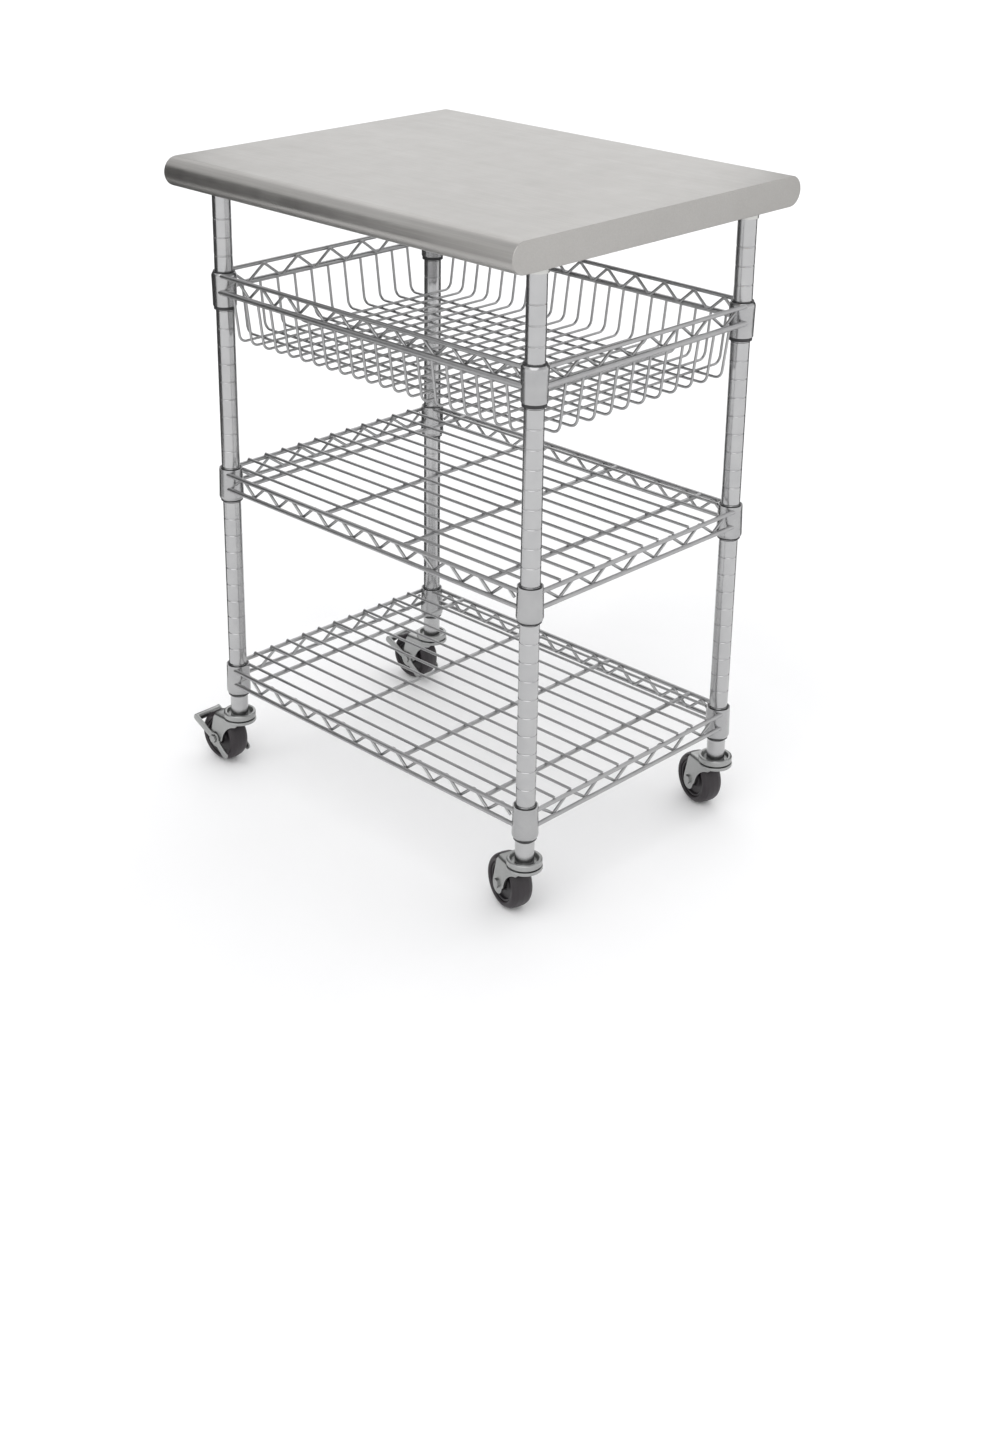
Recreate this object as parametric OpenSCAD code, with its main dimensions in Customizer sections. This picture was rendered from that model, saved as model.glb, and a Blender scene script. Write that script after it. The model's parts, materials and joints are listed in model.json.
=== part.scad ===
// Kitchen island cart: a folded steel worktop on four grooved posts, with a wire
// basket, two wire shelves and four swivel casters, two of them braked.
// Origin on the floor under the centre of the whole outline, with the braked casters
// trailing out past the left end, +X along the long side.

/* [Worktop] */
// Length of the worktop
top_length = 634; // [560:1:900]
// Depth of the worktop over both rounded noses
top_depth = 538; // [480:1:700]
// Height of the worktop above the floor
top_height = 915; // [860:1:960]
// Thickness of the worktop
top_thick = 40; // [30:1:50]
// Thickness of the folded sheet
sheet = 1.2; // [0.8:0.1:2]
// Depth of the panel under the worktop
panel_drop = 6; // [4:1:12]

/* [Posts] */
// Diameter of a post
post_d = 25.4; // [22:0.1:32]
// Distance between post centres along the long side
post_pitch_x = 577; // [500:1:800]
// Distance between post centres along the short side
post_pitch_y = 395; // [340:1:560]
// Distance between the grooves of a post
groove_pitch = 25.4; // [20:0.1:30]

/* [Shelves] */
// Height of the lower end of the bottom shelf collars
bottom_level = 118.4; // [110:0.1:150]
// Grooves between the bottom and the middle shelf
middle_steps = 12; // [10:1:14]
// Grooves between the middle shelf and the basket
basket_steps = 11; // [10:1:12]
// Height of a collar
collar_h = 48; // [44:1:52]
// Diameter of the shelf rims
rim_d = 6; // [5:0.5:7]
// Diameter of the basket's lower rim
basket_rim_d = 8; // [6:0.5:8]
// Diameter of the zigzag wires
zigzag_d = 4; // [3:0.5:5]
// Diameter of the mat wires
mat_d = 4; // [3:0.5:5]
// Distance between the mat wires
mat_pitch = 31.2; // [25:0.1:35]
// Diameter of the basket wires
basket_d = 3.6; // [3:0.1:4]
// Depth of the basket below its lower rim
basket_drop = 66; // [50:1:90]

/* [Casters] */
// Diameter of a wheel
wheel_d = 75; // [70:1:76]
// Width of a tyre
tyre_w = 31; // [28:1:32]
// Distance from the swivel axis to the axle
trail = 35; // [33:1:37]
// Swivel angle of the front left caster
turn_front_left = 181; // [0:1:360]
// Swivel angle of the front right caster
turn_front_right = 164; // [0:1:360]
// Swivel angle of the back right caster
turn_back_right = 163; // [0:1:360]
// Swivel angle of the back left caster
turn_back_left = 183; // [0:1:360]

/* [Hidden] */
$fn = 48;

// Colours
STEEL = [0.68, 0.68, 0.68];
CHROME = [0.72, 0.72, 0.73];
ZINC = [0.62, 0.62, 0.60];
BLACK = [0.10, 0.10, 0.11];
BOARD = [0.72, 0.58, 0.42];

// Corners of the cart
FRONT_LEFT = [-post_pitch_x / 2, -post_pitch_y / 2];
FRONT_RIGHT = [post_pitch_x / 2, -post_pitch_y / 2];
BACK_RIGHT = [post_pitch_x / 2, post_pitch_y / 2];
BACK_LEFT = [-post_pitch_x / 2, post_pitch_y / 2];
CORNERS = [FRONT_LEFT, FRONT_RIGHT, BACK_RIGHT, BACK_LEFT];

// Worktop
nose_r = top_thick / 2;
flat_depth = top_depth - 2 * nose_r;
top_under = top_height - top_thick;
lip_w = 30;
panel_z = top_under - panel_drop;
panel_length = 600;
panel_depth = 452;
socket_r = 14.5;
socket_bottom = panel_z - 4;
socket_top = top_under + 30;
socket_roof = 3.5;
socket_bore_r = post_d / 2 + 0.05;
socket_hole_r = socket_r + 0.05;
screw_r = 2;
screw_head_r = 4;
screw_head_h = 2.5;
screw_grip = 10;
panel_screw_x = 220;
panel_screw_y = flat_depth / 2 - lip_w + 3.5;

// Posts
post_r = post_d / 2;
post_wall = 1.2;
post_bottom = 84.5;
post_top = socket_top - socket_roof - screw_head_h - 1;
groove_w = 2;
groove_depth = 0.5;
groove_count = 29;

// Levels
middle_level = bottom_level + middle_steps * groove_pitch;
basket_level = middle_level + basket_steps * groove_pitch;
rim_r = rim_d / 2;
low_rim_rise = 20;
top_rim_rise = 41.5;
rim_offset = 12;
rim_y = post_pitch_y / 2 + rim_offset;
rim_x = post_pitch_x / 2 + rim_offset;

// Collars and sleeves
collar_mouth_r = 16.5;
collar_belly_r = 17.4;
collar_shoulder = 7;
collar_core_r = 12;
collar_fit = 0.02;
sleeve_wide_r = 15.4;
sleeve_narrow_r = 15;
sleeve_over = 0.6;
sleeve_gap = 1;
sleeve_lip = 5;
bead_depth = 0.4;
bead_w = 1.4;
weld_gap = 0.05;

// Shelf wires
mat_r = mat_d / 2;
zigzag_r = zigzag_d / 2;
mat_last = 6;
rod_pitch = 6 * groove_pitch;
zigzag_run_x = groove_pitch;
zigzag_run_y = 30.5;
zigzag_sides = 6;
zigzag_inset = 19;
last_mat_inset = 13.4;
mat_end_inset = 0.5;

// Basket
basket_low_rise = 25.5;
basket_top_rise = 48.5;
basket_low_rim = basket_level + basket_low_rise;
basket_top_rim = basket_level + basket_top_rise;
basket_low_r = basket_rim_d / 2;
basket_r = basket_d / 2;
basket_lean = 9;
basket_bend_r = 12;
basket_pitch_x = groove_pitch;
basket_pitch_y = 31.25;
basket_last_x = 10;
basket_last_y = 5;
basket_drop_y = basket_drop;
basket_drop_x = basket_drop + basket_d;

// Casters
wheel_r = wheel_d / 2;
crown_under = wheel_d + 1.5;
crown_top = crown_under + 2.5;
fork_inner = 17.2;
fork_outer = 19.7;
fork_back = -15;
fork_front = trail + 1;
fork_heel = 66.5;
fork_eye_r = 11;
fork_eye_drop = 4;
fork_cut_at = [-20, 28];
fork_cut_r = 36;
crown_r = 24;
skirt_bottom = 74;
skirt_wall = 2.5;
skirt_front = 8;
cap_bottom = crown_top + 1.2;
cap_top = 89;
cap_floor = 83;
cap_r = 23.5;
cap_round = 2;
recess_r = 18;
ball_r = 1.5;
ball_ring_r = 17.5;
ball_count = 24;
stem_r = 5;
stem_bottom = 68;
stem_top = 128;
stem_head_r = 8;
stem_head_top = crown_under - 0.6;
plug_h = 43;
bolt_r = 4;
bolt_head_h = 2.5;
nut_r = 6.5;
nut_h = 3;
bush_r = 6.1;
bush_play = 0.06;
hub_r = 27;
tyre_bore_r = hub_r + 0.06;
hub_w = tyre_w - 5;
boss_r = 11.1;
hub_groove_r = 13;
hub_groove_w = 10.5;
hub_groove_depth = 4;
tyre_edge_r = 6;
tyre_crown = 1.5;
tyre_crown_r = 60;
arm_in = fork_outer + 0.5;
arm_out = arm_in + 2.5;
pedal_x = trail + 40;
pedal_z = wheel_r + 20;
pedal_r = 5.5;
arm_half_w = 5.5;
arm_eye_r = 9.5;
brake_toe = [trail - 23, wheel_r - 20];
plain_seat = fork_outer;
braked_seat = arm_out + 0.3;

// The outline runs from the back left pedal to the worktop's right end.
left_reach = post_pitch_x / 2 + (pedal_x + pedal_r) * cos(turn_back_left - 180)
    + arm_out * sin(turn_back_left - 180);
cart_x = (left_reach - top_length / 2) / 2;

module place() {
    translate([cart_x, 0, 0]) children();
}

// ---------- worktop ----------

module stadium(r, width) {
    square([width, 2 * r], center = true);
    translate([-width / 2, 0]) circle(r);
    translate([width / 2, 0]) circle(r);
}

// Extrudes a profile drawn in the YZ plane along X, centred.
module along_x(length) {
    rotate([90, 0, 90]) linear_extrude(length, center = true) children();
}

module panel_screw_places() {
    for (x = [-panel_screw_x, 0, panel_screw_x], y = [-panel_screw_y, panel_screw_y])
        translate([x, y, 0]) children();
}

module worktop_skin() {
    color(STEEL) difference() {
        translate([0, 0, top_height - nose_r]) along_x(top_length - 2 * sheet)
            difference() {
                stadium(nose_r, flat_depth);
                stadium(nose_r - sheet, flat_depth);
                translate([-flat_depth / 2 + lip_w, -nose_r - 1])
                    square([flat_depth - 2 * lip_w, nose_r]);
            }
        panel_screw_places() translate([0, 0, top_under - 1]) cylinder(h = 4, r = screw_r + 0.05);
    }
}

module worktop_end(side) {
    color(STEEL) translate([side * (top_length - sheet) / 2, 0, top_height - nose_r])
        along_x(sheet) stadium(nose_r, flat_depth);
}

module worktop_core() {
    color(BOARD) difference() {
        translate([-top_length / 2 + sheet, -flat_depth / 2, top_under + sheet])
            cube([top_length - 2 * sheet, flat_depth, top_thick - 2 * sheet]);
        for (corner = CORNERS) translate(corner) {
            translate([0, 0, top_under - 1]) cylinder(h = socket_top - top_under + 1, r = socket_hole_r);
            translate([0, 0, socket_top - 1]) cylinder(h = screw_grip - socket_roof + 1, r = screw_r);
        }
        panel_screw_places() translate([0, 0, top_under - 1])
            cylinder(h = screw_grip + 1 - panel_drop, r = screw_r);
    }
}

module worktop_base_panel() {
    color(STEEL) difference() {
        translate([-panel_length / 2, -panel_depth / 2, panel_z])
            cube([panel_length, panel_depth, panel_drop]);
        for (corner = CORNERS) translate([corner[0], corner[1], panel_z - 1])
            cylinder(h = panel_drop + 2, r = socket_hole_r);
        panel_screw_places() translate([0, 0, panel_z - 1])
            cylinder(h = panel_drop + 2, r = screw_r + 0.05);
    }
}

// A screw pointing up, its head's bearing face at z = 0.
module screw() {
    cylinder(h = screw_grip, r = screw_r);
    translate([0, 0, -screw_head_h]) difference() {
        cylinder(h = screw_head_h, r = screw_head_r);
        translate([-3, -0.5, -1]) cube([6, 1, 2]);
        translate([-0.5, -3, -1]) cube([1, 6, 2]);
    }
}

module base_panel_screws() {
    color(ZINC) panel_screw_places() translate([0, 0, panel_z]) screw();
}

module post_sockets() {
    color(STEEL) for (corner = CORNERS) translate([corner[0], corner[1], socket_bottom])
        difference() {
            cylinder(h = socket_top - socket_bottom, r = socket_r);
            translate([0, 0, -1])
                cylinder(h = socket_top - socket_bottom - socket_roof + 1, r = socket_bore_r);
            translate([0, 0, 1]) cylinder(h = socket_top, r = screw_r + 0.05);
        }
}

module socket_screws() {
    color(ZINC) for (corner = CORNERS)
        translate([corner[0], corner[1], socket_top - socket_roof]) screw();
}

// ---------- posts ----------

function groove_points(z) = [
    [post_r, z - groove_w / 2],
    [post_r - groove_depth, z - groove_w / 4],
    [post_r - groove_depth, z + groove_w / 4],
    [post_r, z + groove_w / 2]
];

module post(corner) {
    first_groove = bottom_level + collar_h / 2 - groove_pitch;
    outline = concat(
        [[post_r, post_bottom]],
        [for (i = [0:groove_count - 1], p = groove_points(first_groove + i * groove_pitch)) p],
        [[post_r, post_top], [post_r - post_wall, post_top], [post_r - post_wall, post_bottom]]
    );
    color(CHROME) translate(corner) rotate_extrude() polygon(outline);
}

// ---------- collars, sleeves and rims ----------

// Half outline of a collar's body: tapered towards its mouth from a rounded lower end.
module collar_body() {
    polygon([
        [collar_core_r, 0], [collar_belly_r - collar_shoulder / 2, 0],
        [collar_belly_r, collar_shoulder], [collar_mouth_r, collar_h], [collar_core_r, collar_h]
    ]);
    intersection() {
        translate([collar_belly_r - collar_shoulder, collar_shoulder]) circle(collar_shoulder);
        translate([collar_core_r, 0]) square([collar_shoulder, collar_shoulder]);
    }
}

// Half outline of the tapered bore that wedges on the sleeve, wide end down.
module collar_bore() {
    wide = sleeve_wide_r + collar_fit;
    narrow = sleeve_narrow_r + collar_fit;
    polygon([
        [0, -1], [wide, -1], [wide, 0], [narrow, collar_h], [narrow, collar_h + 1], [0, collar_h + 1]
    ]);
}

module shelf_collars(level) {
    color(CHROME) for (corner = CORNERS) translate([corner[0], corner[1], level])
        rotate_extrude() difference() {
            collar_body();
            collar_bore();
        }
}

// A basket collar has its rounded end up, so its bore widens the other way.
module basket_collars() {
    color(CHROME) for (corner = CORNERS) translate([corner[0], corner[1], basket_level + sleeve_lip])
        rotate_extrude() difference() {
            translate([0, collar_h]) mirror([0, 1]) collar_body();
            collar_bore();
        }
}

// Two half sleeves that clip on a post, wide end down, with a bead in the post's groove.
module split_sleeves(z, over, under) {
    bead_z = collar_h / 2 - under;
    bore = post_r + 0.05;
    color(BLACK) for (corner = CORNERS) translate([corner[0], corner[1], z]) difference() {
        rotate_extrude() polygon([
            [bore, -under], [sleeve_wide_r, -under], [sleeve_wide_r, 0],
            [sleeve_narrow_r, collar_h], [sleeve_narrow_r, collar_h + over], [bore, collar_h + over],
            [bore, bead_z + bead_w / 2], [bore - bead_depth, bead_z + bead_w / 4],
            [bore - bead_depth, bead_z - bead_w / 4], [bore, bead_z - bead_w / 2]
        ]);
        translate([-2 * post_r, -sleeve_gap / 2, -under - 1])
            cube([4 * post_r, sleeve_gap, collar_h + over + under + 2]);
    }
}

module basket_sleeves() {
    split_sleeves(basket_level + sleeve_lip, 0, sleeve_lip);
}

module shelf_sleeves(level) {
    split_sleeves(level, sleeve_over, 0);
}

// A straight wire from a to b.
module wire(a, b, r) {
    d = b - a;
    length = norm(d);
    turn = atan2(d[1], d[0]);
    tip = acos(d[2] / length);
    translate(a) rotate([0, tip, turn]) cylinder(h = length, r = r);
}

// Four rims at one height, welded to the sides of the collars.
module rim_ring(z, r, collar_r) {
    difference() {
        union() {
            for (s = [-1, 1]) {
                wire([-post_pitch_x / 2, s * rim_y, z], [post_pitch_x / 2, s * rim_y, z], r);
                wire([s * rim_x, -post_pitch_y / 2, z], [s * rim_x, post_pitch_y / 2, z], r);
            }
        }
        for (corner = CORNERS) translate([corner[0], corner[1], z - 10])
            cylinder(h = 20, r = collar_r + weld_gap);
    }
}

// Radius of a collar's body at a height above its rounded end.
function collar_radius(rise) =
    let (part = (rise - collar_shoulder) / (collar_h - collar_shoulder))
    collar_belly_r + (collar_mouth_r - collar_belly_r) * part;

module shelf_rims(level) {
    color(CHROME) {
        rim_ring(level + low_rim_rise, rim_r, collar_radius(low_rim_rise));
        rim_ring(level + top_rim_rise, rim_r, collar_radius(top_rim_rise));
    }
}

// Height of a zigzag wire at distance s from its middle, between two heights.
function zigzag_height(s, run, low, high) =
    let (phase = abs(s) % (2 * run))
    high - (high - low) * (phase < run ? phase : 2 * run - phase) / run;

// Distances of a zigzag wire's bends and ends from its middle.
function zigzag_stops(run, reach) =
    let (last = floor(reach / run))
    concat([-reach], [for (k = [-last:last]) k * run], [reach]);

// A bent wire in the XZ plane as one swept solid with a mitred ring at each bend.
module zigzag_wire(run, reach, low, high, r) {
    stops = zigzag_stops(run, reach);
    n = len(stops);
    path = [for (s = stops) [s, zigzag_height(s, run, low, high)]];
    rings = [for (i = [0:n - 1])
        let (before = path[max(i - 1, 0)],
             after = path[min(i + 1, n - 1)],
             into = i == 0 ? after - path[0] : path[i] - before,
             out = i == n - 1 ? into : after - path[i],
             mid = into / norm(into) + out / norm(out),
             across = [-mid[1], mid[0]] / norm(mid),
             stretch = 1 / (norm(mid) / 2))
        for (k = [0:zigzag_sides - 1])
            let (a = 360 * k / zigzag_sides)
            [path[i][0] + across[0] * r * stretch * cos(a),
             r * sin(a),
             path[i][1] + across[1] * r * stretch * cos(a)]];
    sides = [for (i = [0:n - 2], k = [0:zigzag_sides - 1])
        let (a = i * zigzag_sides + k,
             b = i * zigzag_sides + (k + 1) % zigzag_sides)
        [a, b, b + zigzag_sides, a + zigzag_sides]];
    first = [for (k = [0:zigzag_sides - 1]) zigzag_sides - 1 - k];
    last = [for (k = [0:zigzag_sides - 1]) (n - 1) * zigzag_sides + k];
    polyhedron(points = rings, faces = concat([first], sides, [last]), convexity = 10);
}

// The zigzag wires of one level, against the inner side of its rims.
module zigzag_ring(low, high, inset) {
    reach_x = post_pitch_x / 2 - zigzag_inset;
    reach_y = post_pitch_y / 2 - zigzag_inset;
    color(CHROME) {
        for (s = [-1, 1]) {
            translate([0, s * (rim_y - inset), 0])
                zigzag_wire(zigzag_run_x, reach_x, low, high, zigzag_r);
            translate([s * (rim_x - inset), 0, 0]) rotate([0, 0, 90])
                zigzag_wire(zigzag_run_y, reach_y, low, high, zigzag_r);
        }
    }
}

// ---------- flat shelves ----------

module shelf_zigzags(level) {
    zigzag_ring(level + low_rim_rise, level + top_rim_rise, rim_r + zigzag_r + weld_gap);
}

module shelf_mat(level) {
    z = level + top_rim_rise + rim_r + mat_r;
    color(CHROME) for (k = [-mat_last:mat_last]) {
        reach = abs(k) == mat_last ? post_pitch_x / 2 - last_mat_inset : rim_x - mat_end_inset;
        wire([-reach, k * mat_pitch, z], [reach, k * mat_pitch, z], mat_r);
    }
}

module shelf_rods(level) {
    z = level + top_rim_rise;
    reach = rim_y - rim_r;
    color(CHROME) for (k = [-1.5:1:1.5])
        wire([k * rod_pitch, -reach, z], [k * rod_pitch, reach, z], rim_r);
}

// ---------- basket ----------

module basket_rims() {
    color(CHROME) {
        rim_ring(basket_low_rim, basket_low_r, collar_radius(collar_h + sleeve_lip - basket_low_rise));
        rim_ring(basket_top_rim, rim_r, collar_belly_r);
    }
}

module basket_zigzags() {
    zigzag_ring(basket_low_rim, basket_top_rim, basket_low_r + zigzag_r + weld_gap);
}

function lean_angle(drop) = atan2(basket_lean, drop);

// Height of a basket wire's straight leg between the lower rim and its bend.
function leg_height(drop) =
    drop - basket_low_r - basket_bend_r * (1 + sin(lean_angle(drop)));

// One leg of a basket wire in the XZ plane: from under the lower rim at x = 0 it
// leans in towards +X, then bends level, ending at the floor.
module basket_leg(drop) {
    lean = lean_angle(drop);
    translate([floor_start(drop), 0, basket_bend_r - drop]) rotate([90, 0, 0]) rotate([0, 0, 180 + lean]) {
        rotate_extrude(angle = 90 - lean) translate([basket_bend_r, 0]) circle(basket_r);
        translate([basket_bend_r, 0, 0]) rotate([90, 0, 0])
            cylinder(h = leg_height(drop) / cos(lean), r = basket_r);
    }
}

// Distance from the lower rim to where a wire's bend meets the floor.
function floor_start(drop) =
    leg_height(drop) * tan(lean_angle(drop)) + basket_bend_r * cos(lean_angle(drop));

module basket_long_wall(side) {
    color(CHROME) for (k = [-basket_last_x:basket_last_x])
        translate([k * basket_pitch_x, side * rim_y, basket_low_rim]) rotate([0, 0, -side * 90])
            basket_leg(basket_drop_y);
}

module basket_short_wall(side) {
    color(CHROME) for (k = [-basket_last_y:basket_last_y])
        translate([side * rim_x, k * basket_pitch_y, basket_low_rim]) rotate([0, 0, side > 0 ? 180 : 0])
            basket_leg(basket_drop_x);
}

module basket_floor() {
    reach_y = rim_y - floor_start(basket_drop_y);
    reach_x = rim_x - floor_start(basket_drop_x);
    z_y = basket_low_rim - basket_drop_y;
    z_x = basket_low_rim - basket_drop_x;
    color(CHROME) {
        for (k = [-basket_last_x:basket_last_x])
            wire([k * basket_pitch_x, -reach_y, z_y], [k * basket_pitch_x, reach_y, z_y], basket_r);
        for (k = [-basket_last_y:basket_last_y])
            wire([-reach_x, k * basket_pitch_y, z_x], [reach_x, k * basket_pitch_y, z_x], basket_r);
    }
}

// ---------- casters ----------

// Places a caster part drawn with the swivel axis at the origin and the wheel on +X.
module at_caster(corner, turn) {
    translate(corner) rotate([0, 0, turn]) children();
}

module at_axle() {
    translate([trail, 0, wheel_r]) rotate([-90, 0, 0]) children();
}

module caster_stems() {
    color(ZINC) for (corner = CORNERS) translate([corner[0], corner[1], stem_bottom]) {
        cylinder(h = stem_top - stem_bottom, r = stem_r);
        cylinder(h = stem_head_top - stem_bottom, r = stem_head_r);
    }
}

module stem_plugs() {
    color(BLACK) for (corner = CORNERS) translate([corner[0], corner[1], cap_floor]) difference() {
        union() {
            cylinder(h = post_bottom - cap_floor, r = post_r);
            cylinder(h = plug_h, r = post_r - post_wall - 0.05);
        }
        translate([0, 0, -1]) cylinder(h = plug_h + 2, r = stem_r + 0.02);
    }
}

module swivel_caps() {
    color(ZINC) for (corner = CORNERS) translate([corner[0], corner[1], 0]) difference() {
        rotate_extrude() difference() {
            union() {
                translate([0, cap_bottom]) square([cap_r, cap_top - cap_bottom - cap_round]);
                translate([0, cap_bottom]) square([cap_r - cap_round, cap_top - cap_bottom]);
                translate([cap_r - cap_round, cap_top - cap_round]) circle(cap_round);
            }
            translate([0, cap_floor]) square([recess_r, 20]);
            translate([0, cap_bottom - 1]) square([stem_r + 0.02, 20]);
            translate([ball_ring_r, (crown_top + cap_bottom) / 2]) circle(ball_r + 0.05);
        }
    }
}

module caster_balls(corner, turn) {
    color(ZINC) at_caster(corner, turn) for (k = [0:ball_count - 1])
        rotate([0, 0, 360 * k / ball_count])
            translate([ball_ring_r, 0, (crown_top + cap_bottom) / 2]) sphere(ball_r);
}

// Side plate outline in the XZ plane: broad under the crown, narrow round the axle.
module fork_side_profile() {
    eye_z = wheel_r - fork_eye_drop;
    difference() {
        union() {
            polygon([
                [fork_back, crown_top - 1], [fork_front, crown_top - 1],
                [trail + fork_eye_r, wheel_r + 1], [trail - fork_eye_r, eye_z], [fork_back, fork_heel]
            ]);
            translate([trail, eye_z]) circle(fork_eye_r);
            translate([trail - fork_eye_r, eye_z]) square([2 * fork_eye_r, fork_eye_drop + 1]);
        }
        translate(fork_cut_at) circle(fork_cut_r);
        translate([trail, wheel_r]) circle(bolt_r + 0.05);
    }
}

module fork(corner, turn) {
    color(ZINC) at_caster(corner, turn) difference() {
        union() {
            translate([0, 0, crown_under]) linear_extrude(crown_top - crown_under) {
                circle(crown_r);
                translate([0, -fork_outer]) square([fork_front, 2 * fork_outer]);
            }
            for (y = [-fork_inner, fork_outer]) translate([0, y, 0])
                rotate([90, 0, 0]) linear_extrude(fork_outer - fork_inner) fork_side_profile();
            translate([0, 0, skirt_bottom]) difference() {
                cylinder(h = crown_top - 1 - skirt_bottom, r = crown_r);
                translate([0, 0, -1]) cylinder(h = crown_top, r = crown_r - skirt_wall);
                translate([skirt_front, -2 * crown_r, -1]) cube([2 * crown_r, 4 * crown_r, crown_top]);
            }
        }
        cylinder(h = 2 * crown_top, r = stem_r + 0.08);
        rotate_extrude() translate([ball_ring_r, (crown_top + cap_bottom) / 2]) circle(ball_r + 0.05);
    }
}

// Bolt, nut and bush of a wheel; a braked caster has a longer bolt for its pedal arms.
module axle(corner, turn, seat) {
    color(ZINC) at_caster(corner, turn) at_axle() {
        translate([0, 0, -seat - 1]) cylinder(h = 2 * seat + 2, r = bolt_r);
        translate([0, 0, seat]) cylinder(h = nut_h, r = nut_r, $fn = 6);
        translate([0, 0, -seat - bolt_head_h]) cylinder(h = bolt_head_h, r = nut_r, $fn = 6);
    }
    color(STEEL) at_caster(corner, turn) at_axle() difference() {
        cylinder(h = 2 * fork_inner, r = bush_r, center = true);
        cylinder(h = 4 * fork_inner, r = bolt_r + 0.05, center = true);
    }
}

module hub(corner, turn) {
    bore_r = bush_r + bush_play;
    boss_w = 2 * fork_inner - 0.8;
    color(BLACK) at_caster(corner, turn) at_axle() rotate_extrude() difference() {
        union() {
            translate([bore_r, -boss_w / 2]) square([boss_r - bore_r, boss_w]);
            translate([bore_r, -hub_w / 2]) square([hub_r - bore_r, hub_w]);
        }
        for (s = [-1, 1]) translate([hub_groove_r, s * hub_w / 2 - hub_groove_depth])
            square([hub_groove_w, 2 * hub_groove_depth]);
    }
}

module tyre(corner, turn) {
    shoulder_r = wheel_r - tyre_crown - tyre_edge_r;
    color(BLACK) at_caster(corner, turn) at_axle() rotate_extrude() {
        translate([tyre_bore_r, -tyre_w / 2]) square([shoulder_r - tyre_bore_r, tyre_w]);
        translate([tyre_bore_r, tyre_edge_r - tyre_w / 2])
            square([wheel_r - tyre_crown - tyre_bore_r, tyre_w - 2 * tyre_edge_r]);
        difference() {
            for (s = [-1, 1]) translate([shoulder_r, s * (tyre_w / 2 - tyre_edge_r)]) circle(tyre_edge_r);
            translate([0, -tyre_w]) square([tyre_bore_r, 2 * tyre_w]);
        }
        intersection() {
            translate([tyre_bore_r, tyre_edge_r - tyre_w / 2])
                square([wheel_r - tyre_bore_r, tyre_w - 2 * tyre_edge_r]);
            translate([wheel_r - tyre_crown_r, 0]) circle(tyre_crown_r, $fn = 96);
        }
    }
}

// Arm of a brake lever in the XZ plane, a narrow strip from its toe across the bolt to
// the pedal bar.
module brake_arm_profile() {
    pivot = [trail, wheel_r];
    difference() {
        union() {
            for (tip = [brake_toe, [pedal_x, pedal_z]]) {
                along = tip - pivot;
                side = [-along[1], along[0]] / norm(along) * arm_half_w;
                polygon([pivot + side, tip + side, tip - side, pivot - side]);
                translate(tip) circle(arm_half_w);
            }
            translate(pivot) circle(arm_eye_r);
        }
        translate(pivot) circle(bolt_r + 0.06);
    }
}

module brake(corner, turn) {
    color(ZINC) at_caster(corner, turn) {
        for (y = [arm_out, -arm_in]) translate([0, y, 0])
            rotate([90, 0, 0]) linear_extrude(arm_out - arm_in) brake_arm_profile();
        translate([pedal_x, 0, pedal_z]) rotate([90, 0, 0])
            cylinder(h = 2 * arm_in + 0.5, r = pedal_r, center = true);
    }
}

place() worktop_skin();
place() worktop_end(-1);  // worktop_left_end
place() worktop_end(1);  // worktop_right_end
place() worktop_core();
place() worktop_base_panel();
place() base_panel_screws();
place() post_sockets();
place() socket_screws();
place() post(FRONT_LEFT);  // post_front_left
place() post(FRONT_RIGHT);  // post_front_right
place() post(BACK_RIGHT);  // post_back_right
place() post(BACK_LEFT);  // post_back_left
place() basket_rims();
place() basket_zigzags();
place() basket_collars();
place() basket_sleeves();
place() basket_long_wall(-1);  // basket_front_wall
place() basket_long_wall(1);  // basket_back_wall
place() basket_short_wall(-1);  // basket_left_wall
place() basket_short_wall(1);  // basket_right_wall
place() basket_floor();
place() shelf_rims(middle_level);  // middle_shelf_rims
place() shelf_zigzags(middle_level);  // middle_shelf_zigzags
place() shelf_mat(middle_level);  // middle_shelf_mat
place() shelf_rods(middle_level);  // middle_shelf_rods
place() shelf_collars(middle_level);  // middle_shelf_collars
place() shelf_sleeves(middle_level);  // middle_shelf_sleeves
place() shelf_rims(bottom_level);  // bottom_shelf_rims
place() shelf_zigzags(bottom_level);  // bottom_shelf_zigzags
place() shelf_mat(bottom_level);  // bottom_shelf_mat
place() shelf_rods(bottom_level);  // bottom_shelf_rods
place() shelf_collars(bottom_level);  // bottom_shelf_collars
place() shelf_sleeves(bottom_level);  // bottom_shelf_sleeves
place() caster_stems();
place() stem_plugs();
place() swivel_caps();
place() fork(FRONT_LEFT, turn_front_left);  // fork_front_left
place() fork(FRONT_RIGHT, turn_front_right);  // fork_front_right
place() fork(BACK_RIGHT, turn_back_right);  // fork_back_right
place() fork(BACK_LEFT, turn_back_left);  // fork_back_left
place() caster_balls(FRONT_LEFT, turn_front_left);  // balls_front_left
place() caster_balls(FRONT_RIGHT, turn_front_right);  // balls_front_right
place() caster_balls(BACK_RIGHT, turn_back_right);  // balls_back_right
place() caster_balls(BACK_LEFT, turn_back_left);  // balls_back_left
place() axle(FRONT_LEFT, turn_front_left, braked_seat);  // axle_front_left
place() axle(FRONT_RIGHT, turn_front_right, plain_seat);  // axle_front_right
place() axle(BACK_RIGHT, turn_back_right, plain_seat);  // axle_back_right
place() axle(BACK_LEFT, turn_back_left, braked_seat);  // axle_back_left
place() hub(FRONT_LEFT, turn_front_left);  // hub_front_left
place() hub(FRONT_RIGHT, turn_front_right);  // hub_front_right
place() hub(BACK_RIGHT, turn_back_right);  // hub_back_right
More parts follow.
